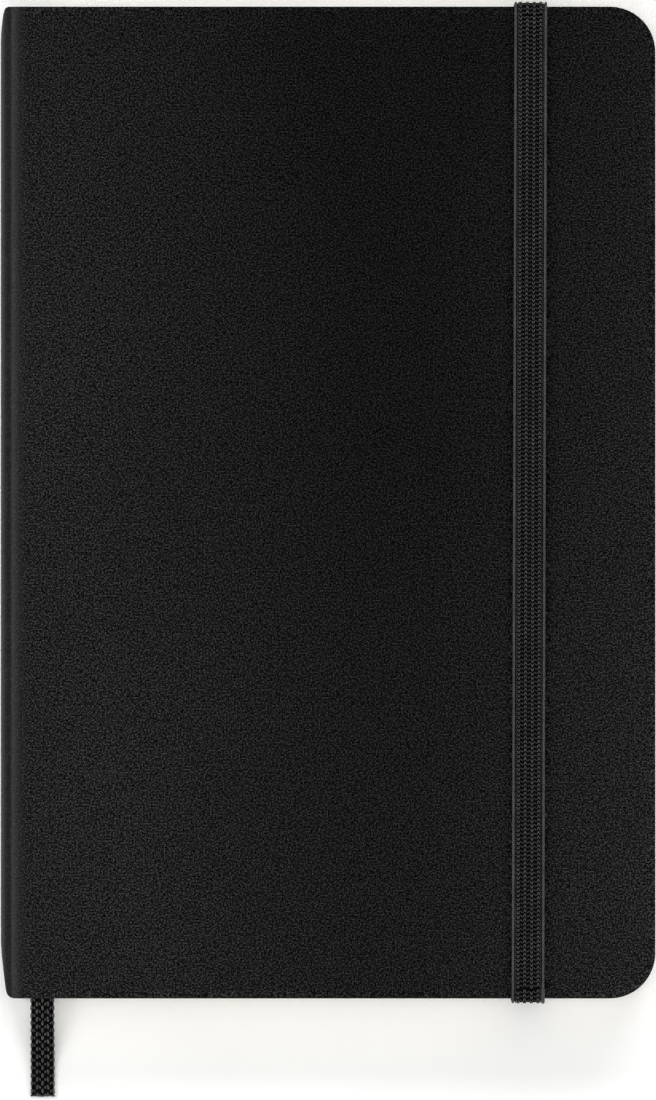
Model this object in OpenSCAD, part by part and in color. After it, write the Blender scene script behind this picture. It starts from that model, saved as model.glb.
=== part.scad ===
// Soft-cover pocket notebook with an elastic closure, a ribbon marker and a back pocket.
// It lies on its back cover: +Z goes out of the front cover, +Y points to the head
// and the spine is at -X. Millimetres throughout.

/* [Book] */
// Length of the covers, head to tail
book_l = 140; // [120:1:160]
// Width from the outside of the spine to the fore-edge
book_w = 92.4; // [84:0.2:110]
// Radius of the two fore-edge corners of the covers
corner_r = 6.4; // [4:0.1:10]
// How far the covers stand past the pages
page_margin = 0.5; // [0.5:0.1:1.5]

/* [Covers] */
// Thickness of the soft cover material
skin_t = 0.7; // [0.6:0.05:1]
// Thickness of the stiffening card
board_t = 0.3; // [0.3:0.05:0.6]
// Thickness of the endpapers
endpaper_t = 0.12; // [0.08:0.01:0.2]
// How far the spine stands out from the creases
spine_d = 1.2; // [1.1:0.05:1.6]

/* [Pages] */
// Thickness of one leaf
leaf_t = 0.085; // [0.07:0.005:0.1]
// Folded sheets nested in each section
sheets = 4; // [3:1:5]

/* [Elastic] */
// Width of the band
elastic_w = 4.8; // [3:0.1:8]
// Thickness of the band
elastic_t = 0.8; // [0.6:0.05:1]
// Distance from the fore-edge to the middle of the band
elastic_inset = 17.9; // [12:0.1:25]

/* [Ribbon marker] */
// Width of the ribbon
ribbon_w = 3.5; // [2.5:0.1:5]
// Thickness of the ribbon
ribbon_t = 0.4; // [0.2:0.05:0.4]
// Length of ribbon that stands out past the tail edge
ribbon_reach = 14.3; // [5:0.1:40]

/* [Pocket] */
// Distance from the creases to the mouth of the pocket
pocket_mouth = 6.5; // [6:0.1:20]
// Thickness of the pocket's front panel
panel_t = 0.25; // [0.15:0.01:0.3]
// Width of the cloth gussets
gusset_w = 8.5; // [5:0.5:15]

/* [Hidden] */
$fn = 48;

// Colours
leather = "#262626";
card = "#8c7b66";
endpaper = "#efe8d4";
paper = "#f7f1df";
cloth = "#c9bfa8";
black = "#161616";

// Outline of the covers and of the pages
edge_x = book_w / 2;
crease_x = -edge_x + spine_d;
half_l = book_l / 2;
page_x = edge_x - page_margin;
page_half = half_l - page_margin;
page_r = corner_r - page_margin;
inset = 0.6;                              // pasted papers and boards stop short of the edge

// Heights of the back cover and the pocket
cover_t = skin_t + board_t + endpaper_t;
gusset_gap = 0.3;                         // the folded gussets fill this
air = 0.05;                               // between parts that move
pocket_top = cover_t + endpaper_t + gusset_gap + panel_t;

// Heights of the pages
sheet_air = 0.005;                        // between two leaves
leaf_pitch = leaf_t + sheet_air;
leaves = 2 * sheets;
section_pitch = leaves * leaf_pitch;
half_sections = 6;                        // sections on each side of the middle opening
fold_r = (section_pitch - sheet_air) / 2; // outside of a section's fold
fold_x = crease_x + 0.6 + fold_r;         // centre of the folds
back_flyleaf_z = pocket_top + air;
ribbon_z = back_flyleaf_z + endpaper_t + 2 * sheet_air;
back_block_z = ribbon_z + ribbon_t + 0.05;
front_block_z = back_block_z + half_sections * section_pitch + air / 2;
front_flyleaf_z = front_block_z + half_sections * section_pitch + sheet_air;
front_cover_z = front_flyleaf_z + endpaper_t + air;
book_t = front_cover_z + cover_t;

// Spine
spine_round = 1.1;                        // height of the rounded corners of the spine
spine_in = 0.5;                           // the same on its inside
head_pinch = 0.5;                         // how far its skin is drawn in at the head
tail_pinch = 0.8;                         // and at the tail
head_pinch_l = 5;
tail_pinch_l = 8;
lining_t = 0.2;
lining_x = fold_x - fold_r - 0.15 - lining_t;
thread_r = 0.07;
kettle_r = 0.06;                          // the stitch that links the sections
stitch_end = page_half - 9.5;

// Elastic
elastic_x = edge_x - elastic_inset;
elastic_top = book_t + 0.01;
elastic_gap = 0.05;                       // between the band and the edges it turns round
channel_deep = 0.5;                       // pressed into the back skin for the band
channel_side = 0.1;
channel_l = 6;
slit_l = 0.6;
tail_t = 0.28;                            // the glued ends are pressed flat
tail_l = 12;
band_press = 0.45;                        // thickness of the band in its channel
band_foot = 0.03;                         // the band's clearance from the table
elastic_bend = 1.4;                       // length of the end strands on the front

// Ribbon: glued at the head of the spine, folded over the head edge, then along the pages
// to the tail, where it sinks to the surface that the book lies on
ribbon_x = crease_x + 4.5;
ribbon_glued_t = 0.2;
ribbon_glued_x = crease_x + 0.02;
ribbon_glue_end = 45;
ribbon_low = back_block_z + 0.1;          // lower edge of the glued strip
ribbon_head = page_half + 0.05;
ribbon_rest_z = 0.02;                     // underside of the end that lies flat
ribbon_sink = 0.77;                       // share of the free end over which it sinks

// A plate's outline: square at the spine side, rounded at the fore-edge
module outline(left, right, half, r) {
    translate([left, -half]) square([right - r - left, 2 * half]);
    translate([left, r - half]) square([right - left, 2 * (half - r)]);
    for (side = [-1, 1]) translate([right - r, side * (half - r)]) circle(r = r);
}

// A flat plate with that outline
module plate(left, right, half, r, z, t) {
    translate([0, 0, z]) linear_extrude(t) outline(left, right, half, r);
}

// A box across the elastic's line, used for its channels and cut-outs
module band_box(side, y0, y1, z0, z1, w) {
    low = min(side * y0, side * y1);
    translate([elastic_x - w / 2, low, z0]) cube([w, abs(y1 - y0), z1 - z0]);
}

// Cover parts ------------------------------------------------------------------

module back_cover_skin() {
    cut = 0.2;
    wide = elastic_w + 2 * channel_side;
    slit_y = half_l - channel_l;
    color(leather) difference() {
        plate(crease_x, edge_x, half_l, corner_r, 0, skin_t);
        for (side = [-1, 1]) {
            band_box(side, slit_y, half_l + cut, -cut, channel_deep, wide);
            band_box(side, slit_y - slit_l, slit_y, -cut, skin_t + cut, wide);
        }
    }
}

module back_cover_board() {
    cut = 0.2;
    wide = elastic_w + 2 * channel_side;
    start = half_l - channel_l;
    color(card) difference() {
        plate(crease_x + inset, edge_x - inset, half_l - inset, page_r, skin_t, board_t);
        for (side = [-1, 1]) {
            band_box(side, start - tail_l - 0.2, start, skin_t - cut, skin_t + board_t + cut, wide);
        }
    }
}

module cover_paper(z) {
    color(endpaper) plate(crease_x + 0.2, page_x, page_half, page_r, z, endpaper_t);
}

module back_pastedown() {
    cover_paper(skin_t + board_t);
}

module front_pastedown() {
    cover_paper(front_cover_z);
}

module front_cover_board() {
    z = front_cover_z + endpaper_t;
    color(card) plate(crease_x + inset, edge_x - inset, half_l - inset, page_r, z, board_t);
}

module front_cover_skin() {
    color(leather) plate(crease_x, edge_x, half_l, corner_r, book_t - skin_t, skin_t);
}

// Pocket ---------------------------------------------------------------------

module pocket_back_panel() {
    left = crease_x + pocket_mouth;
    color(endpaper) plate(left, page_x - 0.4, page_half - 0.4, page_r - 0.4, cover_t, endpaper_t);
}

module pocket_front_panel() {
    left = crease_x + pocket_mouth;
    z = cover_t + endpaper_t + gusset_gap;
    color(endpaper) plate(left, page_x - 0.6, page_half - 0.4, page_r - 0.6, z, panel_t);
}

// One cloth gusset, folded in half with its fold towards the middle of the pocket
module gusset(side) {
    r = gusset_gap / 2;
    cloth_t = r - 0.02;
    left = crease_x + pocket_mouth + 0.2;
    long = page_x - page_r - left;
    fold_y = page_half - 0.6 - gusset_w;
    color(cloth) translate([left, side * fold_y, cover_t + endpaper_t + r])
        rotate([90, 0, 90]) linear_extrude(long) difference() {
            union() {
                circle(r = r);
                translate([side > 0 ? 0 : -gusset_w, -r]) square([gusset_w, gusset_gap]);
            }
            circle(r = r - cloth_t);
            translate([side > 0 ? 0 : -gusset_w - 1, cloth_t - r])
                square([gusset_w + 1, gusset_gap - 2 * cloth_t]);
        }
}

module pocket_gusset_head() {
    gusset(1);
}

module pocket_gusset_tail() {
    gusset(-1);
}

// Pages -------------------------------------------------------------------------

module flyleaf(z) {
    color(endpaper) plate(crease_x + 0.5, page_x, page_half, page_r, z, endpaper_t);
}

module back_flyleaf() {
    flyleaf(back_flyleaf_z);
}

module front_flyleaf() {
    flyleaf(front_flyleaf_z);
}

// One folded sheet: two leaves joined by a fold of radius r
module folded_sheet(r) {
    long = page_x - fold_x + 1;
    rotate([90, 0, 0]) linear_extrude(book_l, center = true) difference() {
        union() {
            circle(r = r);
            translate([0, -r]) square([long, 2 * r]);
        }
        circle(r = r - leaf_t);
        translate([0, leaf_t - r]) square([long + 1, 2 * (r - leaf_t)]);
    }
}

// Nested folded sheets, trimmed to the shape of the page
module section(z) {
    color(paper) for (k = [0 : sheets - 1]) intersection() {
        translate([fold_x, 0, z + fold_r]) folded_sheet(fold_r - k * leaf_pitch);
        plate(crease_x, page_x, page_half, page_r, z - 1, section_pitch + 2);
    }
}

// Sections 1 to 6 lie in front of the middle opening and 7 to 12 behind it
function section_z(n) = n > half_sections
    ? back_block_z + (2 * half_sections - n) * section_pitch
    : front_block_z + (half_sections - n) * section_pitch;

// Threads between the folds of one half, linked by the stitches at head and tail
module sewing(z) {
    line_x = fold_x - fold_r + 0.03;
    link_x = line_x - 0.1;
    color(cloth) union() {
        for (k = [1 : half_sections - 1]) translate([line_x, 0, z + k * section_pitch])
            rotate([90, 0, 0]) cylinder(r = thread_r, h = 2 * stitch_end, center = true);
        for (side = [-1, 1]) translate([link_x, side * (stitch_end - 0.1), z + section_pitch])
            cylinder(r = kettle_r, h = (half_sections - 2) * section_pitch);
    }
}

module sewing_thread_back() {
    sewing(back_block_z);
}

module sewing_thread_front() {
    sewing(front_block_z);
}

// Spine ------------------------------------------------------------------------

module spine_lining() {
    low = back_block_z;
    high = front_flyleaf_z - low;
    color(cloth) translate([lining_x, -page_half + 3, low]) cube([lining_t, 2 * page_half - 6, high]);
}

// How far the skin is drawn in at a place along the spine
function pinch(y) =
    y > half_l - head_pinch_l ? head_pinch * pow((y - half_l + head_pinch_l) / head_pinch_l, 2) :
    y < tail_pinch_l - half_l ? tail_pinch * pow((tail_pinch_l - half_l - y) / tail_pinch_l, 2) : 0;

// Closed ring round the skin at y: the outside from front to back, then the inside
function spine_ring(y) =
    let(
        steps = 6,
        join = crease_x - 0.01,
        out = spine_d - pinch(y) - 0.01,
        in = max(out - skin_t, 0.05),
        top = book_t - skin_t
    ) concat(
        [for (i = [0 : steps]) let(a = 90 * i / steps)
            [join - out * sin(a), y, book_t - spine_round * (1 - cos(a))]],
        [for (i = [steps : -1 : 0]) let(a = 90 * i / steps)
            [join - out * sin(a), y, spine_round * (1 - cos(a))]],
        [for (i = [0 : steps]) let(a = 90 * i / steps)
            [join - in * sin(a), y, skin_t + spine_in * (1 - cos(a))]],
        [for (i = [steps : -1 : 0]) let(a = 90 * i / steps)
            [join - in * sin(a), y, top - spine_in * (1 - cos(a))]]
    );

module spine_skin() {
    ends = 6;
    stations = concat(
        [for (i = [0 : ends]) -half_l + tail_pinch_l * i / ends],
        [for (i = [0 : ends]) half_l - head_pinch_l * (1 - i / ends)]
    );
    n = len(spine_ring(0));
    last = len(stations) - 1;
    points = [for (y = stations) each spine_ring(y)];
    walls = [for (s = [0 : last - 1]) for (i = [0 : n - 1])
        let(j = (i + 1) % n, a = s * n, b = a + n)
            each [[a + i, a + j, b + j], [a + i, b + j, b + i]]];
    cap = [for (i = [0 : n / 2 - 2]) let(p = n - 1 - i)
        each [[i, i + 1, p - 1], [i, p - 1, p]]];
    tail_cap = [for (f = cap) [f[2], f[1], f[0]]];
    head_cap = [for (f = cap) [for (i = f) i + last * n]];
    color(leather) polyhedron(points, concat(walls, tail_cap, head_cap));
}

// Elastic ------------------------------------------------------------------------

// The band over the front cover, with rounded edges
module elastic_front_strand() {
    r = elastic_t / 2;
    color(black) translate([elastic_x, half_l - elastic_bend + elastic_gap, elastic_top + r])
        rotate([90, 0, 0]) linear_extrude(2 * (half_l - elastic_bend + elastic_gap)) union() {
            square([elastic_w - elastic_t, elastic_t], center = true);
            for (side = [-1, 1]) translate([side * (elastic_w - elastic_t) / 2, 0]) circle(r = r);
        }
}

// The band where it turns over one end of the book, drawn from the side
module end_profile() {
    near = half_l + elastic_gap;
    far = near + elastic_t;
    top = elastic_top + elastic_t;
    foot_r = 0.42;
    difference() {
        union() {
            translate([0, elastic_top]) square([far - elastic_t, elastic_t]);
            translate([near - 0.2, foot_r + band_foot])
                square([elastic_t + 0.2, top - elastic_t - foot_r - band_foot]);
            translate([far - elastic_t, top - elastic_t]) circle(r = elastic_t);
            translate([near - 0.2, band_foot]) square([elastic_t + 0.2 - foot_r, foot_r]);
            translate([far - foot_r, foot_r + band_foot]) circle(r = foot_r);
        }
        translate([0, band_foot + band_press]) square([near, elastic_top - band_foot - band_press]);
        translate([0, -1]) square([half_l, elastic_top]);
        translate([0, elastic_top - 1]) square([near - elastic_bend, elastic_t + 2]);
    }
}

module end_strand() {
    color(black) translate([elastic_x - elastic_w / 2, 0, 0])
        rotate([90, 0, 90]) linear_extrude(elastic_w) end_profile();
}

module elastic_head_strand() {
    end_strand();
}

module elastic_tail_strand() {
    mirror([0, 1, 0]) end_strand();
}

// The band's hidden end: along the channel, up through the slit and glued beside the board
module elastic_anchor(side) {
    slit_y = half_l - channel_l;
    color(black) union() {
        band_box(side, slit_y - slit_l + 0.1, half_l, band_foot, band_foot + band_press, elastic_w);
        band_box(side, slit_y - slit_l + 0.1, slit_y - 0.05, band_foot, skin_t + tail_t, elastic_w);
        band_box(side, slit_y - tail_l, slit_y - 0.05, skin_t, skin_t + tail_t, elastic_w);
    }
}

module elastic_head_anchor() {
    elastic_anchor(1);
}

module elastic_tail_anchor() {
    elastic_anchor(-1);
}

// Ribbon -------------------------------------------------------------------------

// The stretch that turns over the head of the pages, folded once on the diagonal
module ribbon_fold() {
    left = ribbon_x - ribbon_w / 2;
    right = ribbon_x + ribbon_w / 2;
    high = ribbon_low + ribbon_w;
    translate([0, ribbon_head + ribbon_t, 0]) rotate([90, 0, 0]) linear_extrude(ribbon_t) polygon([
        [ribbon_glued_x, ribbon_low], [left, ribbon_low], [left, ribbon_z],
        [right, ribbon_z], [right, ribbon_low], [left, high], [ribbon_glued_x, high]
    ]);
}

// Underside of the free end at a distance past the tail edge
function ribbon_height(d) =
    let(share = min(d / (ribbon_reach * ribbon_sink), 1))
    ribbon_rest_z + (ribbon_z - ribbon_rest_z) * (1 + cos(180 * share)) / 2;

// The free end, drawn from the side
module ribbon_free_end() {
    steps = 16;
    under = [for (i = [0 : steps]) let(d = ribbon_reach * i / steps) [-half_l - d, ribbon_height(d)]];
    over = [for (i = [steps : -1 : 0]) under[i] + [0, ribbon_t]];
    translate([ribbon_x - ribbon_w / 2, 0, 0])
        rotate([90, 0, 90]) linear_extrude(ribbon_w) polygon(concat(under, over));
}

module ribbon_marker() {
    overlap = 0.2;
    color(black) union() {
        translate([ribbon_glued_x, ribbon_glue_end, ribbon_low])
            cube([ribbon_glued_t, ribbon_head + overlap - ribbon_glue_end, ribbon_w]);
        ribbon_fold();
        translate([ribbon_x - ribbon_w / 2, -half_l, ribbon_z])
            cube([ribbon_w, half_l + ribbon_head + overlap, ribbon_t]);
        ribbon_free_end();
    }
}

back_cover_skin();
back_cover_board();
back_pastedown();
pocket_back_panel();
pocket_front_panel();
pocket_gusset_head();
pocket_gusset_tail();
back_flyleaf();
section(section_z(12));  // section_12
section(section_z(11));  // section_11
section(section_z(10));  // section_10
section(section_z(9));  // section_09
section(section_z(8));  // section_08
section(section_z(7));  // section_07
section(section_z(6));  // section_06
section(section_z(5));  // section_05
section(section_z(4));  // section_04
section(section_z(3));  // section_03
section(section_z(2));  // section_02
section(section_z(1));  // section_01
sewing_thread_back();
sewing_thread_front();
spine_lining();
spine_skin();
front_flyleaf();
front_pastedown();
front_cover_board();
front_cover_skin();
ribbon_marker();
elastic_front_strand();
elastic_head_strand();
elastic_tail_strand();
elastic_head_anchor();
elastic_tail_anchor();
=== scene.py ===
import math

import bmesh
import bpy
from mathutils import Matrix, Vector


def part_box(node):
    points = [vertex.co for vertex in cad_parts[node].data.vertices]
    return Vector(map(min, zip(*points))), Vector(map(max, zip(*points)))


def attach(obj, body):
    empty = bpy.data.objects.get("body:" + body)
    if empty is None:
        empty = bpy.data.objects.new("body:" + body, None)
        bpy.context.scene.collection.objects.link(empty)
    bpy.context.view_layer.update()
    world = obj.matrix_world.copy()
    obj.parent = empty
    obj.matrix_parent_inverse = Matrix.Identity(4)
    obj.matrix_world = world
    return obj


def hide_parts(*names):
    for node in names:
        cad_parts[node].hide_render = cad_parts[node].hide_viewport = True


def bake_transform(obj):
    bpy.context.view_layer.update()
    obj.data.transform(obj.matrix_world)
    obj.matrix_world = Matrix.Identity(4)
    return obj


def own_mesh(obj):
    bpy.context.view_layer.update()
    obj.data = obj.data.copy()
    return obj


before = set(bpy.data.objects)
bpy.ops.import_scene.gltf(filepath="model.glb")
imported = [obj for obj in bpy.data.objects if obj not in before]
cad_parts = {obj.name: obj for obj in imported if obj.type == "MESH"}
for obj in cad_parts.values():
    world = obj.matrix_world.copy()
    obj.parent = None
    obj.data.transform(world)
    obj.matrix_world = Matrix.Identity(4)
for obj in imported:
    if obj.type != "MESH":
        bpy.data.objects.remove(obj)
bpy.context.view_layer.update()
mm = 0.001


def boxOf(node):
    low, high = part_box(node)
    return Vector(low), Vector(high)


frontLow, frontHigh = boxOf("front_cover_skin")
spineLow = boxOf("spine_skin")[0]
bandLow, bandHigh = boxOf("elastic_front_strand")
ribbonLow, ribbonHigh = boxOf("ribbon_marker")

book = {
    "top": frontHigh.z,              # outer face of the front cover
    "edge": frontHigh.x,             # fore-edge
    "crease": frontLow.x,            # where the covers meet the spine
    "spine": spineLow.x,             # outside of the spine
    "half": frontHigh.y,             # from the middle to the head or tail edge
    "skin": frontHigh.z - frontLow.z,
    "corner": 6.4 * mm,
}
bookSize = (book["edge"] * 2, book["half"] * 2, book["top"])
print("frame loaded: book", [round(v / mm, 2) for v in bookSize])


# camera, floor and lights

studio = {
    "lens": 500, "sensor": 36,
    "seen": 155.25 * mm,             # height of the view at the front cover
    "aim": (0.0, -6.7 * mm),         # x and y that the camera is over
    "clip": 20,
    "floor": 3.0,                    # half the floor's width, in metres
    "worldGrey": 0.2,
    # place, size and power of each light, which all point at the middle of the book's back
    "lights": {
        "leftSoftbox": ((-1.7, 0.2, 0.95), (1.2, 1.6), 13),
        "rightSoftbox": ((1.7, -0.2, 0.85), (1.1, 1.4), 8.6),
        "headSoftbox": ((0.1, 1.6, 1.2), (1.6, 0.9), 26),
        "tailSoftbox": ((-0.1, -1.8, 0.95), (1.6, 0.9), 22),
        "spineStrip": ((-0.3, -0.02, 0.15), (0.4, 0.1), 0.42),
        "foreEdgeStrip": ((0.28, -0.16, 0.13), (0.3, 0.1), 0.26),
    },
}


def makeCamera():
    data = bpy.data.cameras.new("overheadCamera")
    data.lens = studio["lens"]
    data.sensor_width = studio["sensor"]
    data.clip_end = studio["clip"]
    camera = bpy.data.objects.new("overheadCamera", data)
    distance = studio["seen"] * studio["lens"] / studio["sensor"]
    camera.location = (studio["aim"][0], studio["aim"][1], book["top"] + distance)
    bpy.context.collection.objects.link(camera)
    bpy.context.scene.camera = camera


def makeFloor(material):
    bm = bmesh.new()
    bmesh.ops.create_grid(bm, x_segments=1, y_segments=1, size=studio["floor"])
    floor = toObject(bm, "floor", material)


def makeLight(name, place, size, power):
    data = bpy.data.lights.new(name, "AREA")
    data.shape = "RECTANGLE"
    data.size, data.size_y = size
    data.energy = power
    lamp = bpy.data.objects.new(name, data)
    lamp.location = place
    lamp.rotation_euler = (-Vector(place)).to_track_quat("-Z", "Y").to_euler()
    lamp.visible_camera = False
    bpy.context.collection.objects.link(lamp)


def makeWorld():
    world = bpy.data.worlds.new("softRoom")
    world.use_nodes = True
    bpy.context.scene.world = world
    back = world.node_tree.nodes["Background"]
    grey = studio["worldGrey"]
    back.inputs["Color"].default_value = (grey, grey, grey, 1)
    bpy.context.scene.view_settings.view_transform = "Standard"


# small helpers

def toObject(bm, name, material, smooth=False):
    bmesh.ops.recalc_face_normals(bm, faces=bm.faces)
    mesh = bpy.data.meshes.new(name)
    bm.to_mesh(mesh)
    bm.free()
    mesh.polygons.foreach_set("use_smooth", [smooth] * len(mesh.polygons))
    mesh.materials.append(material)
    obj = bpy.data.objects.new(name, mesh)
    bpy.context.collection.objects.link(obj)
    return obj


def clamped(value):
    # held between 0 and 1
    return min(max(value, 0.0), 1.0)


def spread(low, high, count):
    return [low + (high - low) * i / (count - 1) for i in range(count)]


class nodeMaker:
    # builds the nodes of one material; each method adds one node and returns it or its output
    def __init__(self, name):
        self.material = bpy.data.materials.new(name)
        self.material.use_nodes = True
        self.tree = self.material.node_tree
        self.shader = self.tree.nodes["Principled BSDF"]

    def add(self, kind, **settings):
        node = self.tree.nodes.new(kind)
        for key, value in settings.items():
            setattr(node, key, value)
        return node

    def link(self, source, target):
        self.tree.links.new(source, target)

    def place(self, scale=(1, 1, 1)):
        coords = self.add("ShaderNodeTexCoord")
        mapping = self.add("ShaderNodeMapping")
        mapping.inputs["Scale"].default_value = scale
        self.link(coords.outputs["Object"], mapping.inputs["Vector"])
        return mapping.outputs["Vector"]

    def noise(self, vector, scale, detail=3.0, roughness=0.55):
        node = self.add("ShaderNodeTexNoise")
        node.inputs["Scale"].default_value = scale
        node.inputs["Detail"].default_value = detail
        node.inputs["Roughness"].default_value = roughness
        self.link(vector, node.inputs["Vector"])
        return node

    def cells(self, vector, scale):
        node = self.add("ShaderNodeTexVoronoi", feature="DISTANCE_TO_EDGE")
        node.inputs["Scale"].default_value = scale
        self.link(vector, node.inputs["Vector"])
        return node.outputs["Distance"]

    def ramp(self, value, stops, smooth=True):
        node = self.add("ShaderNodeValToRGB")
        node.color_ramp.interpolation = "EASE" if smooth else "LINEAR"
        while len(node.color_ramp.elements) < len(stops):
            node.color_ramp.elements.new(0.5)
        for element, (position, grey) in zip(node.color_ramp.elements, stops):
            element.position = position
            colour = grey if isinstance(grey, tuple) else (grey, grey, grey)
            element.color = (*colour, 1)
        self.link(value, node.inputs["Fac"])
        return node.outputs["Color"]

    def mathOf(self, operation, first, second):
        node = self.add("ShaderNodeMath", operation=operation)
        for slot, value in zip(node.inputs, (first, second)):
            if isinstance(value, (int, float)):
                slot.default_value = value
            else:
                self.link(value, slot)
        return node.outputs["Value"]

    def span(self, value, low, high, atLow, atHigh):
        # a straight run from one value to another, held at both ends
        node = self.add("ShaderNodeMapRange")
        limits = {"From Min": low, "From Max": high, "To Min": atLow, "To Max": atHigh}
        for slot, number in limits.items():
            node.inputs[slot].default_value = number
        self.link(value, node.inputs["Value"])
        return node.outputs["Result"]

    def grey(self, value):
        node = self.add("ShaderNodeCombineColor")
        for slot in ("Red", "Green", "Blue"):
            self.link(value, node.inputs[slot])
        return node.outputs["Color"]

    def mix(self, factor, first, second, blendType="MIX"):
        node = self.add("ShaderNodeMix", data_type="RGBA", blend_type=blendType)
        for slot, value in ((0, factor), (6, first), (7, second)):
            if isinstance(value, (int, float)):
                node.inputs[slot].default_value = value
            elif isinstance(value, tuple):
                node.inputs[slot].default_value = (*value, 1)
            else:
                self.link(value, node.inputs[slot])
        return node.outputs[2]

    def bump(self, height, depth, strength=1.0, under=None):
        node = self.add("ShaderNodeBump")
        node.inputs["Distance"].default_value = depth
        node.inputs["Strength"].default_value = strength
        self.link(height, node.inputs["Height"])
        if under is not None:
            self.link(under, node.inputs["Normal"])
        return node.outputs["Normal"]

    def finish(self, colour=None, normal=None, rough=None, **values):
        if colour is not None:
            self.link(colour, self.shader.inputs["Base Color"])
        if normal is not None:
            self.link(normal, self.shader.inputs["Normal"])
        if rough is not None:
            self.link(rough, self.shader.inputs["Roughness"])
        for key, value in values.items():
            self.shader.inputs[key.replace("_", " ")].default_value = value
        return self.material


# materials

leather = {
    "grain": 0.225 * mm,             # between the light points of the grain
    "cell": 0.5 * mm,                # width of one pebble
    "tones": (0.0001, 0.0017, 0.027),    # dark, middle and light grain
    "net": 0.014,                    # fine lines between the pebbles
    "streaks": (-46.5 * mm, -31 * mm),   # fine lines along the spine, fading out to the right
    # height of the pebbles, the grain, the lines along the spine and the fine creases
    "depth": 0.05 * mm, "grainDepth": 0.035 * mm, "lineDepth": 0.09 * mm, "creaseDepth": 0.02 * mm,
    # painted light: the leather is painted lighter where the lamps light it more, from the spine to the
    # right, to the fore-edge, and from tail to head
    "paintedLightLeft": (-46 * mm, 4 * mm, 1.0, 0.0), "paintedLightRight": (14 * mm, 46 * mm, 0.0, 0.6),
    "paintedLightLength": (-70 * mm, 70 * mm, 0.45, -0.15),
    "paintedLightLeast": 0.72,
    # painted light and shade across the spine: lighter round the spine and on the ridge beside the crease,
    # painted shade down in the crease
    "spineShadingWidth": (-46.2 * mm, -42 * mm),
    "spineShadingHeight": (10.4 * mm, 11.6 * mm),  # only near the front cover
    "spineLightAndShade": [(0.0, 0.085), (0.08, 0.045), (0.17, 0.02), (0.25, 0.014), (0.32, 0.018),
               (0.4, 0.042), (0.5, 0.036), (0.68, 0.02), (1.0, 0.012)],
    "wearAndPaintedLight": 1.9,                     # how much lighter the edges with the most painted light are
}


def pebbledLeather():
    make = nodeMaker("pebbledLeather")
    flat = make.place()
    drift = make.noise(flat, 1700, detail=2)
    warped = make.mix(0.2 * mm, flat, drift.outputs["Color"], "LINEAR_LIGHT")
    pebbles = make.cells(warped, 1 / leather["cell"])
    grain = make.noise(flat, 1 / leather["grain"], detail=1.5, roughness=0.5)
    creased = make.noise(flat, 900, detail=4, roughness=0.6)
    streak = make.noise(make.place(scale=(1, 0.07, 1)), 1600, detail=3)
    broad = make.noise(flat, 22, detail=3)
    dark, middle, light = leather["tones"]
    colour = make.ramp(grain.outputs["Fac"], [(0.38, dark), (0.51, middle), (0.64, light)], smooth=False)
    net = make.ramp(pebbles, [(0.0, 1.0), (0.05, 0.5), (0.1, 0.0)])
    colour = make.mix(make.mathOf("MULTIPLY", net, 0.45), colour, (leather["net"],) * 3)
    split = make.add("ShaderNodeSeparateXYZ")
    make.link(flat, split.inputs["Vector"])
    nearSpine = make.span(split.outputs["X"], *leather["streaks"], 1.0, 0.0)
    # painted light: the colour is made lighter towards the spine, the fore-edge and the tail, with a
    # random broad tone on top
    paintedLightLeft = make.span(split.outputs["X"], *leather["paintedLightLeft"])
    paintedLightMask = make.mathOf("MAXIMUM", paintedLightLeft, make.span(split.outputs["X"], *leather["paintedLightRight"]))
    paintedLightMask = make.mathOf("ADD", paintedLightMask, make.span(split.outputs["Y"], *leather["paintedLightLength"]))
    shade = make.span(paintedLightMask, 0.0, 1.0, leather["paintedLightLeast"], leather["wearAndPaintedLight"])
    shade = make.mathOf("MULTIPLY", shade, make.span(broad.outputs["Fac"], 0.3, 0.7, 0.92, 1.08))
    colour = make.mix(1.0, colour, make.grey(shade), "MULTIPLY")
    # painted light and shade: the spine's edge and the ridge are painted lighter and the crease darker,
    # mostly on the front cover's side
    acrossSpine = make.span(split.outputs["X"], *leather["spineShadingWidth"], 0.0, 1.0)
    spineLightAndShade = make.ramp(acrossSpine, leather["spineLightAndShade"])
    spineShadingAmount = make.span(acrossSpine, 0.35, 1.0, 0.75, 0.0)
    upperSide = make.span(split.outputs["Z"], *leather["spineShadingHeight"], 0.15, 1.0)
    colour = make.mix(make.mathOf("MULTIPLY", spineShadingAmount, upperSide), colour, spineLightAndShade)
    lines = make.mathOf("MULTIPLY", streak.outputs["Fac"], nearSpine)
    rise = make.ramp(pebbles, [(0.0, 0.0), (0.16, 0.75), (0.45, 1.0)])
    normal = make.bump(rise, leather["depth"])
    normal = make.bump(grain.outputs["Fac"], leather["grainDepth"], 0.8, normal)
    normal = make.bump(lines, leather["lineDepth"], 0.8, normal)
    normal = make.bump(creased.outputs["Fac"], leather["creaseDepth"], 0.6, normal)
    rough = make.ramp(grain.outputs["Fac"], [(0.35, 0.36), (0.65, 0.5)])
    return make.finish(colour, normal, rough, Specular_IOR_Level=0.025)


def knitYarn():
    make = nodeMaker("knitYarn")
    fibre = make.noise(make.place(scale=(1, 0.35, 1)), 9000, detail=3)
    wearAndPaintedLight = make.noise(make.place(), 300, detail=2)
    colour = make.ramp(fibre.outputs["Fac"], [(0.3, 0.017), (0.75, 0.075)])
    fade = make.ramp(wearAndPaintedLight.outputs["Fac"], [(0.3, 0.8), (0.7, 1.2)])
    colour = make.mix(1.0, colour, fade, "MULTIPLY")
    normal = make.bump(fibre.outputs["Fac"], 0.02 * mm, 0.8)
    return make.finish(colour, normal, Roughness=0.6, Specular_IOR_Level=0.25, Sheen_Weight=0.03)


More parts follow.
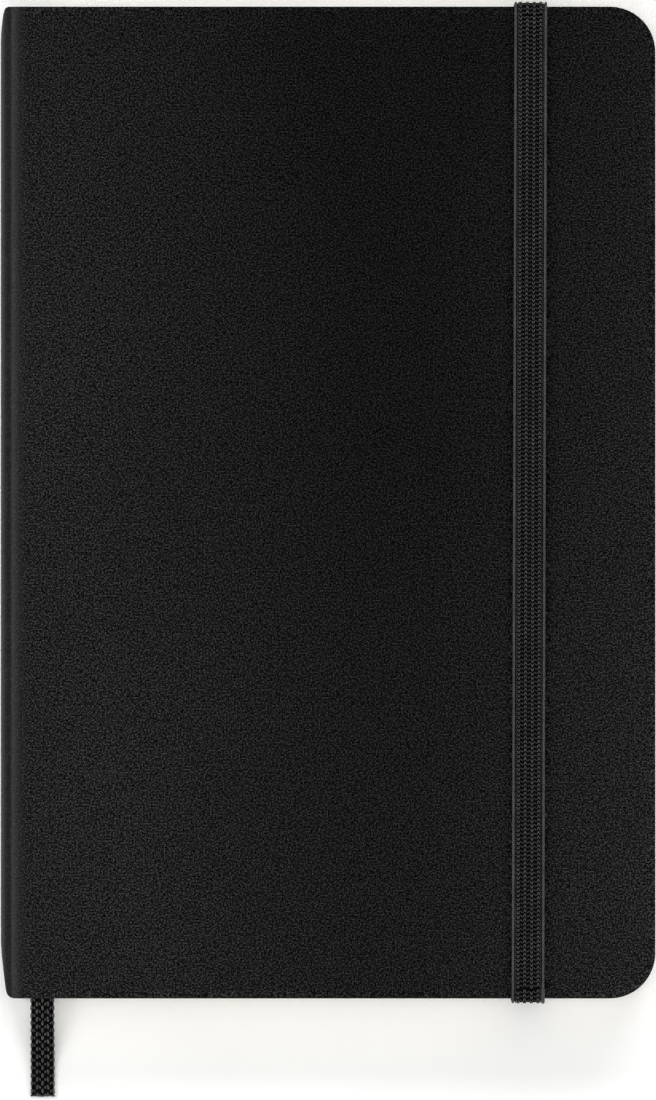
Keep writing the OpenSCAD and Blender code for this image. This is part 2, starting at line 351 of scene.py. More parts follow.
def paintedShadeCore():
    make = nodeMaker("paintedShadeCore")
    threads = make.noise(make.place(scale=(1, 0.2, 1)), 6000, detail=2)
    # painted shade: the core is near black, standing for the shade in the gaps between the stitches
    colour = make.ramp(threads.outputs["Fac"], [(0.3, 0.0006), (0.7, 0.0025)])
    normal = make.bump(threads.outputs["Fac"], 0.03 * mm)
    return make.finish(colour, normal, Roughness=0.9, Specular_IOR_Level=0.05)


def braidYarn():
    make = nodeMaker("braidYarn")
    fibre = make.noise(make.place(scale=(1, 0.3, 1)), 7000, detail=3)
    colour = make.ramp(fibre.outputs["Fac"], [(0.3, 0.008), (0.72, 0.075)])
    normal = make.bump(fibre.outputs["Fac"], 0.02 * mm, 0.8)
    return make.finish(colour, normal, Roughness=0.32, Specular_IOR_Level=0.4)


def meltedEnd():
    make = nodeMaker("meltedEnd")
    blobs = make.noise(make.place(), 1800, detail=2)
    colour = make.ramp(blobs.outputs["Fac"], [(0.35, 0.012), (0.7, 0.09)])
    normal = make.bump(blobs.outputs["Fac"], 0.05 * mm)
    return make.finish(colour, normal, Roughness=0.35, Specular_IOR_Level=0.5)


def paperSheet(name, tint, lines=0.0):
    make = nodeMaker(name)
    flat = make.place()
    fibres = make.noise(make.place(scale=(1, 0.4, 1)), 1400, detail=5, roughness=0.65)
    clouds = make.noise(flat, 120, detail=3)
    shade = make.ramp(fibres.outputs["Fac"], [(0.3, 0.93), (0.7, 1.03)])
    colour = make.mix(1.0, tint, shade, "MULTIPLY")
    tone = make.ramp(clouds.outputs["Fac"], [(0.3, 0.97), (0.7, 1.02)])
    colour = make.mix(1.0, colour, tone, "MULTIPLY")
    if lines:
        split = make.add("ShaderNodeSeparateXYZ")
        make.link(flat, split.inputs["Vector"])
        step = make.mathOf("PINGPONG", split.outputs["Y"], lines / 2)
        line = make.mathOf("LESS_THAN", step, 0.07 * mm)
        colour = make.mix(make.mathOf("MULTIPLY", line, 0.75), colour, (0.4, 0.41, 0.43))
    normal = make.bump(fibres.outputs["Fac"], 0.02 * mm, 0.5)
    return make.finish(colour, normal, Roughness=0.86, Specular_IOR_Level=0.25)


def greyCard():
    make = nodeMaker("greyCard")
    fibres = make.noise(make.place(), 1600, detail=5, roughness=0.7)
    colour = make.ramp(fibres.outputs["Fac"], [(0.3, (0.3, 0.26, 0.2)), (0.7, (0.48, 0.42, 0.34))])
    normal = make.bump(fibres.outputs["Fac"], 0.03 * mm)
    return make.finish(colour, normal, Roughness=0.92, Specular_IOR_Level=0.2)


def wovenCloth(name, tint, pitch, depth):
    make = nodeMaker(name)
    flat = make.place()
    drift = make.noise(flat, 1200, detail=2)
    wavy = make.mix(0.04 * mm, flat, drift.outputs["Color"], "LINEAR_LIGHT")
    split = make.add("ShaderNodeSeparateXYZ")
    make.link(wavy, split.inputs["Vector"])
    sideways = make.mathOf("ADD", split.outputs["X"], split.outputs["Z"])
    across = make.mathOf("PINGPONG", sideways, pitch / 2)
    along = make.mathOf("PINGPONG", split.outputs["Y"], pitch / 2)
    weave = make.mathOf("MULTIPLY", make.mathOf("ADD", across, along), 1 / pitch)
    shade = make.ramp(weave, [(0.1, 0.62), (0.75, 1.05)])
    colour = make.mix(1.0, tint, shade, "MULTIPLY")
    normal = make.bump(weave, depth)
    return make.finish(colour, normal, Roughness=0.9, Specular_IOR_Level=0.2, Sheen_Weight=0.1)


def paleFloor():
    make = nodeMaker("paleFloor")
    paint = make.noise(make.place(), 40, detail=2)
    colour = make.ramp(paint.outputs["Fac"], [(0.3, 0.955), (0.7, 0.965)])
    return make.finish(colour, Roughness=0.9, Specular_IOR_Level=0.1)


finishes = {
    "leather": pebbledLeather(),
    "yarn": knitYarn(),
    "core": paintedShadeCore(),
    "braid": braidYarn(),
    "melted": meltedEnd(),
    "pages": paperSheet("ivoryPages", (0.88, 0.835, 0.7), lines=6 * mm),
    "endpapers": paperSheet("ivoryEndpaper", (0.87, 0.82, 0.68)),
    "pocketCard": paperSheet("pocketCard", (0.85, 0.795, 0.65)),
    "card": greyCard(),
    "lining": wovenCloth("openLiningCloth", (0.72, 0.69, 0.6), 0.8 * mm, 0.1 * mm),
    "gusset": wovenCloth("gussetCloth", (0.7, 0.64, 0.5), 0.34 * mm, 0.05 * mm),
    "thread": wovenCloth("linenThread", (0.8, 0.77, 0.68), 0.12 * mm, 0.02 * mm),
}
print("materials made:", len(finishes))

makeCamera()
makeWorld()
makeFloor(paleFloor())
for lightName, (lightPlace, lightSize, lightPower) in studio["lights"].items():
    makeLight(lightName, lightPlace, lightSize, lightPower)
print("camera, floor and lights made:", len(studio["lights"]))


# a route: points with the direction across the strip at each, used for the ribbon and the band

class stripRoute:
    def __init__(self, points):
        self.points = [Vector(p) for p, across in points]
        self.across = [Vector(across).normalized() for p, across in points]
        self.runs = [0.0]
        for a, b in zip(self.points, self.points[1:]):
            self.runs.append(self.runs[-1] + (b - a).length)
        self.length = self.runs[-1]

    def at(self, run):
        # place, direction along, across and outward at a distance along the route
        run = min(max(run, 0.0), self.length)
        i = 0
        while i < len(self.runs) - 2 and self.runs[i + 1] < run:
            i += 1
        share = (run - self.runs[i]) / (self.runs[i + 1] - self.runs[i])
        place = self.points[i].lerp(self.points[i + 1], share)
        along = self.tangent(i).lerp(self.tangent(i + 1), share).normalized()
        across = self.across[i].lerp(self.across[i + 1], share)
        across = (across - along * across.dot(along)).normalized()
        return place, along, across, across.cross(along)

    def tangent(self, i):
        before = self.points[max(i - 1, 0)]
        after = self.points[min(i + 1, len(self.points) - 1)]
        return (after - before).normalized()

    def spot(self, run, side, height):
        place, _, across, out = self.at(run)
        return place + across * side + out * height


# ribbon marker: a flat core, near black as painted shade between the stitches, covered in staggered rows
# of stitches, along its whole route

ribbon = {
    "width": 3.5 * mm, "thick": 0.4 * mm,
    "core": (1.6 * mm, 0.1 * mm),        # half width and half thickness of the body inside, near black as painted shade
    "pitch": 1.09 * mm,                  # between stitches along one column
    "column": 0.77 * mm,                 # between columns
    # half width, half length and half thickness of the three kinds of stitch
    "stitch": (0.19 * mm, 0.41 * mm, 0.1 * mm),
    "between": (0.12 * mm, 0.26 * mm, 0.07 * mm),
    "edge": (0.2 * mm, 0.44 * mm, 0.18 * mm),
    "lean": 9, "betweenLean": 16, "edgeLean": 5,    # degrees
    "high": 0.095 * mm, "betweenHigh": 0.1 * mm,    # heights of the stitches over its middle
    "beads": 9, "beadStep": 0.38 * mm, "bead": (0.27 * mm, 0.15 * mm, 0.15 * mm),   # its melted end
    "spineTurn": 0.3 * mm, "foldTurn": 1.9 * mm, "pageTurn": 0.15 * mm,             # radii of its bends
    "sink": 0.77,                        # share of the free end over which it sinks
    "reach": 14.3 * mm, "rest": 0.02 * mm,
    "glueStart": 45 * mm,
}


def ribbonRoute():
    half = book["half"]
    middle = ribbonHigh.x - ribbon["width"] / 2
    thick = ribbon["thick"]
    glued = ribbonLow.x + thick / 4
    headY = ribbonHigh.y - thick / 2
    foldZ = ribbonHigh.z - ribbon["width"] / 2
    pageZ = boxOf("back_flyleaf")[1].z + 0.01 * mm + thick / 2
    turn = ribbon["foldTurn"]
    corner, edge = ribbon["spineTurn"], ribbon["pageTurn"]
    route = []
    upright, level = (0, 0, 1), (1, 0, 0)
    for y in spread(ribbon["glueStart"], headY - 0.35 * mm, 6):
        route.append(((glued, y, foldZ), upright))
    for i in range(1, 5):                # round the corner of the spine
        a = math.radians(22.5 * i)
        x, y = glued + corner * (1 - math.cos(a)), headY - corner * (1 - math.sin(a))
        route.append(((x, y, foldZ), upright))
    for i in range(0, 9):                # the diagonal fold on the head of the pages
        a = math.radians(11.25 * i)
        place = (middle - turn + turn * math.sin(a), headY, foldZ - turn + turn * math.cos(a))
        route.append((place, (math.sin(a), 0, math.cos(a))))
    route[-1] = ((middle, headY, foldZ - turn), level)
    for i in range(1, 5):                # over the edge of the pages
        a = math.radians(22.5 * i)
        y, z = headY - edge * (1 - math.cos(a)), pageZ + edge * (1 - math.sin(a))
        route.append(((middle, y, z), level))
    for y in spread(headY - 0.5 * mm, -half, 15):
        route.append(((middle, y, pageZ), level))
    low = ribbon["rest"] + thick / 2
    for i in range(1, 17):               # the free end sinks to the table and lies flat
        out = ribbon["reach"] * i / 16
        share = clamped(out / (ribbon["reach"] * ribbon["sink"]))
        z = low + (pageZ - low) * (1 + math.cos(math.pi * share)) / 2
        route.append(((middle, -half - out, z), level))
    return stripRoute(route)


def addTube(bm, places, radii, sides, outs):
    # a closed tube through the places: a grid rolled up round them, with its ends filled
    tube = bmesh.new()
    last = len(places) - 1
    bmesh.ops.create_grid(tube, x_segments=sides, y_segments=last, size=1)
    frames = []
    for i, place in enumerate(places):
        along = (places[min(i + 1, last)] - places[max(i - 1, 0)]).normalized()
        side = along.cross(outs[i]).normalized()
        frames.append((place, side, side.cross(along)))
    for vert in tube.verts:
        i = round((vert.co.y + 1) / 2 * last)
        angle = math.pi * (vert.co.x + 1)
        place, side, out = frames[i]
        wide, high = radii[i]
        vert.co = place + side * wide * math.cos(angle) + out * high * math.sin(angle)
    bmesh.ops.remove_doubles(tube, verts=tube.verts, dist=1e-7)
    bmesh.ops.holes_fill(tube, edges=[e for e in tube.edges if e.is_boundary], sides=sides)
    joinInto(bm, tube)


def joinInto(bm, part, material=0):
    bmesh.ops.recalc_face_normals(part, faces=part.faces)
    for face in part.faces:
        face.material_index = material
    mesh = bpy.data.meshes.new("part")
    part.to_mesh(mesh)
    part.free()
    bm.from_mesh(mesh)
    bpy.data.meshes.remove(mesh)


def addLoop(bm, side, run, lean, size, height=0.0):
    # one stitch, lying flat: x across the strip, y along it
    turn = Matrix.Rotation(-math.radians(lean), 4, "Z") @ Matrix.Diagonal((*size, 1))
    bmesh.ops.create_uvsphere(
        bm, u_segments=6, v_segments=4, radius=1, matrix=Matrix.Translation((side, run, height)) @ turn)


def addStitches(bm, route, pitch, addRow):
    # a block of rows is made flat, doubled three times and then laid along the route
    knit = bmesh.new()
    block = max(1, round(route.length / pitch / 8))
    pitch = route.length / (8 * block)
    for row in range(block):
        addRow(knit, (row + 0.5) * pitch, pitch)
    for doubling in (1, 2, 4):
        copied = bmesh.ops.duplicate(knit, geom=knit.verts[:] + knit.edges[:] + knit.faces[:])
        verts = [g for g in copied["geom"] if isinstance(g, bmesh.types.BMVert)]
        bmesh.ops.translate(knit, verts=verts, vec=(0, doubling * block * pitch, 0))
    for vert in knit.verts:
        vert.co = route.spot(min(max(vert.co.y, 0), route.length), vert.co.x, vert.co.z)
    joinInto(bm, knit)


def addPlait(knit, run, pitch):
    # one row of the braid: staggered columns of stitches on both faces, and one column on each edge
    step = ribbon["column"]
    for face in (-1, 1):
        for column in (-1, 0, 1):
            late = 0.25 * pitch if column else -0.25 * pitch
            lean = ribbon["lean"] * column
            addLoop(knit, column * step, run + late, lean, ribbon["stitch"], face * ribbon["high"])
        for column in (-1.5, -0.5, 0.5, 1.5):
            late = -0.25 * pitch if abs(column) > 1 else 0.25 * pitch
            lean = -ribbon["betweenLean"] if column > 0 else ribbon["betweenLean"]
            addLoop(knit, column * step, run + late, lean, ribbon["between"], face * ribbon["betweenHigh"])
    for side in (-1, 1):
        rim = side * (ribbon["width"] / 2 - ribbon["edge"][0])
        addLoop(knit, rim, run - 0.25 * pitch, side * ribbon["edgeLean"], ribbon["edge"])


def makeRibbon():
    route = ribbonRoute()
    bm = bmesh.new()
    runs = spread(0.1 * mm, route.length - 0.1 * mm, int(route.length / (0.4 * mm)))
    spots = [route.at(run) for run in runs]
    addTube(bm, [s[0] for s in spots], [ribbon["core"]] * len(spots), 12, [s[3] for s in spots])
    for face in bm.faces:
        face.material_index = 1
    addStitches(bm, route, ribbon["pitch"], addPlait)
    sealed = bmesh.new()                 # the cut end, melted so that it doesn't fray
    for k in range(ribbon["beads"]):
        side = (k - ribbon["beads"] // 2) * ribbon["beadStep"]
        place = route.spot(route.length - 0.16 * mm + 0.05 * mm * math.sin(5 * k), side, 0)
        bead = Matrix.Translation(place) @ Matrix.Diagonal((*ribbon["bead"], 1))
        bmesh.ops.create_uvsphere(sealed, u_segments=8, v_segments=6, radius=1, matrix=bead)
    joinInto(bm, sealed, 2)
    braid = toObject(bm, "plaitedRibbon", finishes["braid"], smooth=True)
    braid.data.materials.append(finishes["core"])
    braid.data.materials.append(finishes["melted"])
    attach(braid, "back_leaves")
    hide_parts("ribbon_marker")
    print("ribbon: length in mm", round(route.length / mm, 1), "faces", len(braid.data.polygons))


makeRibbon()


# elastic band: its sizes and place come before the covers, which give a little under it

band = {
    "width": 4.8 * mm, "thick": 0.8 * mm,
    "centre": 0.62,                      # share of the thickness at which its course runs
    "core": (2.3 * mm, 0.26 * mm),       # half width and half thickness of the body inside, near black as painted shade
    "coreLow": 0.3 * mm, "ribLow": 0.06 * mm,    # how far these lie under the course
    "lift": 0.02 * mm, "barLow": 0.06 * mm,      # how far the stitches stand up, and the bars lie lower
    "pitch": 0.611 * mm,                 # between stitches
    "chains": (-1.42, -0.48, 0.49, 1.42),   # places of the knitted chains across the band, in mm
    # half width, half length and half thickness of a leg of a stitch, a bar between chains and a dot
    "loop": (0.09 * mm, 0.31 * mm, 0.14 * mm), "spread": 0.1 * mm,
    "bar": (0.06 * mm, 0.3 * mm, 0.05 * mm), "barLean": 52,
    "dot": (0.08 * mm, 0.1 * mm, 0.08 * mm), "dots": 1.76 * mm,
    "lean": 23,                          # degrees
    "ribSide": 2.12 * mm,
    # radii of the ribs: the wide one is only on the fore-edge side of the two pieces at the tail
    "rib": 0.18 * mm, "wideRib": 0.25 * mm,
    "foot": 0.28 * mm, "footTurn": 0.3 * mm, # height and bend where it goes under the back cover
    "channel": 5.9 * mm,                 # length of its run under the back cover
    "shift": 0.12 * mm,                  # sideways of the whole band
    "slant": 0.2 * mm,                   # sideways from the middle to each end
}


def bandX(y):
    return (bandLow.x + bandHigh.x) / 2 + band["shift"] + band["slant"] * y / book["half"]


# leather covers and spine

cover = {
    "plateColumns": 60, "spineRows": 14, "middleRows": 58,
    # places of the rows near each end, in mm from it
    "endRows": (0, 0.1, 0.22, 0.36, 0.52, 0.75, 1.05, 1.5, 2.1, 2.9, 3.8, 5, 6.4, 8),
    # places of the columns in the rounded corners, in degrees round the corner
    "cornerTurns": (8, 16, 24, 32, 40, 48, 56, 63, 70, 76, 81, 85, 88, 90),
    "creaseDepth": 0.36 * mm, "creaseWidth": (0.4 * mm, 0.62 * mm), "creaseOffset": 0.08 * mm,
    "ridge": 0.03 * mm, "ridgeWidth": 0.4 * mm, "ridgeOffset": 0.95 * mm,
    "edgeDrop": 0.26 * mm, "edgeWidth": 1.5 * mm,
    "spineRound": 1.15 * mm, "hingeWidth": 0.6 * mm,
    "headPinch": 0.45 * mm, "headPinchLength": 4.6 * mm, "headRound": 0.35 * mm,
    "tailPinch": 0.85 * mm, "tailPinchLength": 8 * mm, "tailRound": 0.75 * mm,
    "pinchWidth": 3.2 * mm, "pinchPower": 1.3, "roundShare": 0.9,
    "backRise": 0.25,                    # share of the relief that the back keeps, as it lies flat
    "bevel": 0.22 * mm,
    "bandDent": 0.12 * mm, "bandDentWidth": 0.45 * mm,    # the cover gives a little under the band
}


def pinchAt(y):
    # how far the spine side is drawn in near the head and the tail
    total = 0.0
    for end, pinch, length, corner in (
        (1, cover["headPinch"], cover["headPinchLength"], cover["headRound"]),
        (-1, cover["tailPinch"], cover["tailPinchLength"], cover["tailRound"]),
    ):
        near = book["half"] - end * y
        total += pinch * clamped(1 - near / length) ** cover["pinchPower"]
        if near < corner:
            total += corner * (1 - math.sqrt(1 - (1 - near / corner) ** 2)) * cover["roundShare"]
    return total


def halfLengthAt(x):
    # half the cover's length at x: shorter in the rounded fore-edge corners
    r = book["corner"]
    into = x - (book["edge"] - r)
    if into <= 0:
        return book["half"]
    return book["half"] - r + math.sqrt(max(r * r - into * into, 0))


def edgeDistance(x, y):
    # distance to the cover's outline at the head, tail and fore-edge
    r = book["corner"]
    cx, cy = book["edge"] - r, book["half"] - r
    if x > cx and abs(y) > cy:
        return max(r - math.hypot(x - cx, abs(y) - cy), 0)
    return min(book["edge"] - x, book["half"] - abs(y))


def coverRise(x, y):
    # height of the cover's face above its flat level
    near = edgeDistance(x, y)
    drop = cover["edgeDrop"] * clamped(1 - near / cover["edgeWidth"]) ** 2
    off = x - book["crease"] - cover["creaseOffset"]
    off /= cover["creaseWidth"][off > 0]                  # steeper on the spine's side
    valley = cover["creaseDepth"] * math.exp(-off * off)
    up = (x - book["crease"] - cover["ridgeOffset"]) / cover["ridgeWidth"]
    ridge = cover["ridge"] * math.exp(-up * up)
    beside = max(abs(x - bandX(y)) - band["width"] / 2, 0) / cover["bandDentWidth"]
    dent = cover["bandDent"] * math.exp(-beside * beside)
    return ridge - drop - valley - dent


def plateColumns():
    # places across the cover, closer together at the crease, under the band and in the corners
    near = spread(book["crease"], book["crease"] + 3 * mm, 19)
    left, right = bandX(0) - 3.6 * mm, bandX(0) + 3.6 * mm
    middle = spread(book["crease"] + 3 * mm, left, cover["plateColumns"] // 2)
    middle += spread(left, right, 37)[1:]
    middle += spread(right, book["edge"] - book["corner"], cover["plateColumns"] // 4)[1:]
    corner = [
        book["edge"] - book["corner"] * (1 - math.sin(math.radians(a)))
        for a in cover["cornerTurns"]
    ]
    return near + middle[1:] + corner


def coverRows():
    # places along the cover, closer together near the head and the tail, as shares of half its length
    near = [1 - out * mm / book["half"] for out in cover["endRows"]]
    middle = spread(-near[-1], near[-1], cover["middleRows"])
    return [-v for v in near[:-1]] + middle + near[-2::-1]


def coverSection(part):
    # (x, z, out x, out z) along the outside, for a book whose middle plane is at z = 0
    top = book["top"] / 2
    if part == "cover":
        return [(x, top, 0, 1) for x in plateColumns()]
    r = cover["spineRound"]
    depth = book["crease"] - book["spine"]
    corner = []
    for i in range(11):
        a = math.radians(9 * i)
        x, z = book["crease"] - depth * math.cos(a), top - r + r * math.sin(a)
        corner.append((x, z, -math.cos(a), math.sin(a)))
    straight = [(book["spine"], z, -1, 0) for z in spread(r - top, top - r, cover["spineRows"])[1:-1]]
    return [(x, -z, outX, -outZ) for x, z, outX, outZ in reversed(corner)] + straight + corner


def makeSkin(name, part, flip=False):
    section = coverSection(part)
    count, rows = len(section), coverRows()
    bm = bmesh.new()
    bmesh.ops.create_grid(bm, x_segments=count - 1, y_segments=len(rows) - 1, size=1)
    outer = list(bm.verts)
    inner = bmesh.ops.duplicate(bm, geom=bm.verts[:] + bm.edges[:] + bm.faces[:])
    partner = inner["vert_map"]
    bmesh.ops.bridge_loops(bm, edges=[e for e in bm.edges if e.is_boundary])
    middle = book["top"] / 2
    skin = book["skin"]
    for vert in outer:
        x, z, outX, outZ = section[round((vert.co.x + 1) / 2 * (count - 1))]
        y = rows[round((vert.co.y + 1) / 2 * (len(rows) - 1))] * halfLengthAt(x)
        if part == "cover":
            rise = coverRise(x, y)
        else:
            rise = min(coverRise(book["crease"], y), 0) * abs(outZ) ** 3
        if flip or z < 0:
            rise *= cover["backRise"]
        toEnd = book["half"] - abs(y)
        endDrop = cover["edgeDrop"] * clamped(1 - toEnd / cover["edgeWidth"]) ** 2
        shift = pinchAt(y) * clamped(1 - (x - book["spine"]) / cover["pinchWidth"])
        face = -1 if flip or z < 0 else 1                 # below or above the middle plane
        vert.co = (x + shift + endDrop * abs(outX), y, middle + face * (abs(z) + rise))
        partner[vert].co = (x + shift - outX * skin, y, middle + face * (abs(z) - abs(outZ) * skin))
    outline = [e for e in bm.edges if e.calc_face_angle(0) > 1.0 and onOutline(e)]
    bmesh.ops.recalc_face_normals(bm, faces=bm.faces)
    bmesh.ops.bevel(
        bm, geom=outline, offset=cover["bevel"], offset_type="OFFSET", segments=3,
        profile=0.5, affect="EDGES", material=-1, clamp_overlap=True,
    )
    skinObject = toObject(bm, name, finishes["leather"], smooth=True)
    skinObject.data.set_sharp_from_angle(angle=math.radians(45))
    return skinObject


def onOutline(edge):
    # true for edges on the book's outer edge, false for the seams between spine and covers
    a, b = edge.verts[0].co, edge.verts[1].co
    return edgeDistance((a.x + b.x) / 2, (a.y + b.y) / 2) < 0.1 * mm


def makeCovers():
    front = makeSkin("frontCoverLeather", "cover")
    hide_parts("front_cover_skin")
    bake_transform(front)
    back = makeSkin("backCoverLeather", "cover", flip=True)
    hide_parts("back_cover_skin")
    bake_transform(back)
    middle = makeSkin("spineLeather", "spine")
    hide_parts("spine_skin")
    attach(middle, "back_leaves")
    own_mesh(middle)
    print("covers: faces", [len(o.data.polygons) for o in (front, middle, back)])


makeCovers()


# elastic band's course and knit

def frontRoute():
    z = bandLow.z + band["thick"] * band["centre"]
    points = []
    for y in spread(bandLow.y, bandHigh.y, 9):
        points.append(((bandX(y), y, z), (1, 0, 0)))
    return stripRoute(points)


def endRoute(end):
    # over the edge of the book, down its side and under the back cover
    half = book["half"]
    thick = band["thick"] * band["centre"]
    topZ = bandLow.z + thick
    turn = thick + 0.02 * mm
    x = bandX(end * half)
    across = (end, 0, 0)
    sideY = half + 0.03 * mm
    footZ, footTurn = band["foot"], band["footTurn"]
    points = [((x, end * bandHigh.y, topZ), across)]
    for i in range(9):
        a = math.radians(90 * i / 8)
        points.append(((x, end * (sideY + turn * math.sin(a)), topZ - turn + turn * math.cos(a)), across))
    for z in spread(topZ - turn - 0.6 * mm, footZ + 0.9 * mm, 9):
        points.append(((x, end * (sideY + turn), z), across))
    for i in range(7):
        a = math.radians(90 * i / 6)
        y = sideY + turn - footTurn * (1 - math.cos(a))
        points.append(((x, end * y, footZ + footTurn * (1 - math.sin(a))), across))
    return stripRoute(points)


def channelRoute(end):
    points = []
    for y in spread(book["half"] + 0.05 * mm, book["half"] - band["channel"], 5):
        points.append(((bandX(end * y), end * y, band["foot"]), (end, 0, 0)))
    return stripRoute(points)


def addBandCore(bm, route, thin=1.0):
    # the body of the band, a flat closed strip, near black as painted shade between the stitches
    wide, high = band["core"]
    spots, outs, sizes = [], [], []
    for run in spread(0, route.length, max(int(route.length / (0.5 * mm)), 4)):
        place, _, _, out = route.at(run)
        spots.append(place - out * band["coreLow"] * thin)
        outs.append(out)
        sizes.append((wide, high * thin))
    addTube(bm, spots, sizes, 12, outs)


def addKnitRow(thin):
    # one row of the knit: two legs in each chain, slanted bars between the chains, dots beside the ribs
    chains = [side * mm for side in band["chains"]]

    def addRow(knit, run, pitch):
        wide, long, high = band["loop"]
        for k, side in enumerate(chains):
            late = 0.5 * pitch * (k % 2)                  # neighbouring chains are half a stitch apart
            for leg in (-1, 1):
                lean = band["lean"] * leg * (-1 if k % 2 else 1)
                size = (wide, long, high * thin)
                addLoop(knit, side + leg * band["spread"], run + late, lean, size, band["lift"])
        wide, long, high = band["bar"]
        for k, (one, other) in enumerate(zip(chains, chains[1:])):
            lean = band["barLean"] if k % 2 else -band["barLean"]
            size = (wide, long, high * thin)
            low = band["lift"] - band["barLow"]
            addLoop(knit, (one + other) / 2, run + 0.25 * pitch, lean, size, low)
        wide, long, high = band["dot"]
        for side in (-1, 1):
            for late in (-0.25, 0.25):
                addLoop(knit, side * band["dots"], run + late * pitch, 0, (wide, long, high * thin))
    return addRow


def addRibs(bm, route, thin=1.0):
    atTail = route.across[0].x < 0                        # the tail's routes run the other way round
    for side in (-1, 1):
        rib = band["wideRib"] if atTail and side < 0 else band["rib"]
        spots, outs, sizes = [], [], []
        count = max(int(route.length / (band["pitch"] / 3)), 6)
        for i in range(count + 1):
            run = route.length * i / count
            swell = 1 + 0.07 * math.cos(2 * math.pi * run / band["pitch"])
            place, _, across, out = route.at(run)
            spots.append(place + across * side * band["ribSide"] - out * band["ribLow"])
            outs.append(out)
            sizes.append((rib * swell, rib * swell * 1.1 * thin))
        addTube(bm, spots, sizes, 8, outs)


def makeBandPiece(name, route, thin=1.0):
    bm = bmesh.new()
    addBandCore(bm, route, thin)
    for face in bm.faces:
        face.material_index = 1
    addStitches(bm, route, band["pitch"], addKnitRow(thin))
    addRibs(bm, route, thin)
    obj = toObject(bm, name, finishes["yarn"], smooth=True)
    obj.data.materials.append(finishes["core"])
    return obj


def makeElastic():
    front = makeBandPiece("elasticFront", frontRoute())
    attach(front, "elastic_loop")
    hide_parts("elastic_front_strand")
    print("elastic front: faces", len(front.data.polygons))
    for end, where in ((1, "head"), (-1, "tail")):
        turned = makeBandPiece("elastic" + where.capitalize(), endRoute(end))
        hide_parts(f"elastic_{where}_strand")
        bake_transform(turned)
        hidden = makeBandPiece("elasticGlued" + where.capitalize(), channelRoute(end), 0.8)
        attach(hidden, "back_cover")
        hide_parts(f"elastic_{where}_anchor")


makeElastic()


# soft parts that bend where the book or the pocket opens

soft = {
    "paper": 0.02 * mm,                  # thickness of an endpaper fold
    "bulge": 0.18 * mm, "tuck": 0.3 * mm,    # how far the fold stands out, and runs in at each end
    "cloth": 0.006 * mm, "lining": 0.12 * mm,    # thicknesses of the gussets and the spine cloth
    "gussetFold": 60.35 * mm,            # from the middle of the book to the fold in a gusset
    "liningBend": (5.6 * mm, 6.85 * mm), # heights between which the spine cloth bends
}


def bendSheet(name, path, toPlace, thick, material, rows=4):
    # a thin sheet that follows a path of places and runs straight across it
    bm = bmesh.new()
    bmesh.ops.create_grid(bm, x_segments=len(path) - 1, y_segments=rows, size=1)
    for vert in bm.verts:
        vert.co = toPlace(path[round((vert.co.x + 1) / 2 * (len(path) - 1))], vert.co.y)
    bmesh.ops.recalc_face_normals(bm, faces=bm.faces)
    bmesh.ops.solidify(bm, geom=bm.faces[:], thickness=thick)
    return toObject(bm, name, finishes[material], smooth=True)


def makeEndpaperFold(name, lower, upper):
    # the rounded fold that joins a pasted endpaper to its free leaf
    (lowBox, lowTop), (highBox, highTop) = boxOf(lower), boxOf(upper)
    lowX, lowZ = lowBox.x, (lowBox.z + lowTop.z) / 2
    highX, highZ = highBox.x, (highBox.z + highTop.z) / 2
    path = [(lowX + soft["tuck"], lowZ)]
    for i in range(25):
        a = math.radians(180 * i / 24)
        x = lowX + (highX - lowX) * i / 24 + 0.03 * mm - soft["bulge"] * math.sin(a)
        path.append((x, (lowZ + highZ) / 2 - (highZ - lowZ) / 2 * math.cos(a)))
    path.append((highX + soft["tuck"], highZ))
    half = lowTop.y - 0.02 * mm
    fold = bendSheet(name, path, lambda p, v: (p[0], v * half, p[1]), soft["paper"], "endpapers")
    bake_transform(fold)


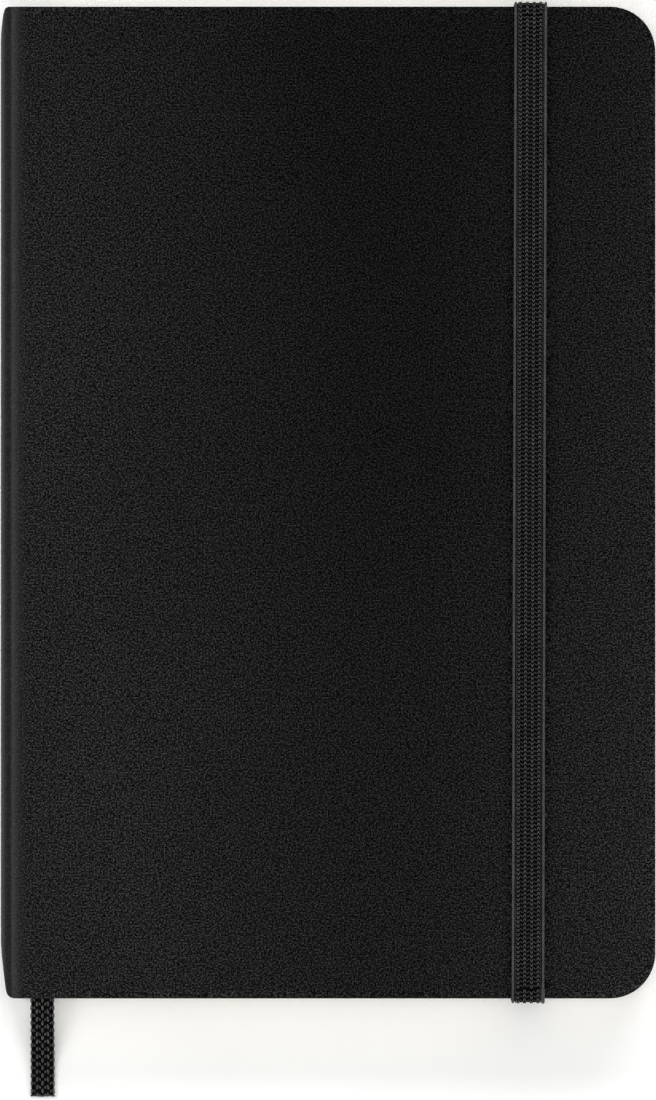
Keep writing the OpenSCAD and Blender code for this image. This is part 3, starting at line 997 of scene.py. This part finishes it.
def makeLining():
    low, high = boxOf("spine_lining")
    bendLow, bendHigh = soft["liningBend"]
    x = (low.x + high.x) / 2
    heights = spread(low.z, bendLow, 8)[:-1] + spread(bendLow, bendHigh, 25)
    heights += spread(bendHigh, high.z, 10)[1:]
    path = [(x, z) for z in heights]
    lining = bendSheet("spineCloth", path, lambda p, v: (p[0], v * high.y, p[1]), soft["lining"], "lining")
    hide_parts("spine_lining")
    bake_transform(lining)


def makeGussets():
    # each is one strip of cloth, folded inwards, glued to both panels of the pocket
    for end, where in ((1, "head"), (-1, "tail")):
        low, high = boxOf(f"pocket_gusset_{where}")
        outer = max(abs(low.y), abs(high.y)) - 0.05 * mm
        bottom, top = low.z + 0.01 * mm, high.z - 0.01 * mm
        centre = (bottom + top) / 2
        ys = spread(outer, soft["gussetFold"], 13)
        path = [(y, bottom + (centre - bottom) * i / 12.5) for i, y in enumerate(ys)]
        path += [(ys[-1] - 0.02 * mm, centre)]
        path += [(y, top - (top - centre) * i / 12.5) for i, y in enumerate(ys)][::-1]
        middle, half = (low.x + high.x) / 2, (high.x - low.x) / 2
        gusset = bendSheet(
            "pocketGusset" + where.capitalize(), path,
            lambda p, v: (middle + v * half, end * p[0], p[1]), soft["cloth"], "gusset", rows=12)
        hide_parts(f"pocket_gusset_{where}")
        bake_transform(gusset)


makeEndpaperFold("backEndpaperFold", "back_pastedown", "back_flyleaf")
makeEndpaperFold("frontEndpaperFold", "front_flyleaf", "front_pastedown")
makeLining()
makeGussets()
print("soft parts made: endpaper folds, spine cloth, gussets")


# papers, boards, cloth and thread

def dressFrame():
    looks = {
        "back_cover_board": "card", "front_cover_board": "card",
        "back_pastedown": "endpapers", "front_pastedown": "endpapers",
        "back_flyleaf": "endpapers", "front_flyleaf": "endpapers",
        "pocket_back_panel": "pocketCard", "pocket_front_panel": "pocketCard",
        "sewing_thread_back": "thread", "sewing_thread_front": "thread",
    }
    looks.update({node: "pages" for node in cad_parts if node.startswith("section_")})
    for node, look in looks.items():
        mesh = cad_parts[node].data
        mesh.materials.clear()
        mesh.materials.append(finishes[look])
    print("frame dressed:", len(looks))


dressFrame()
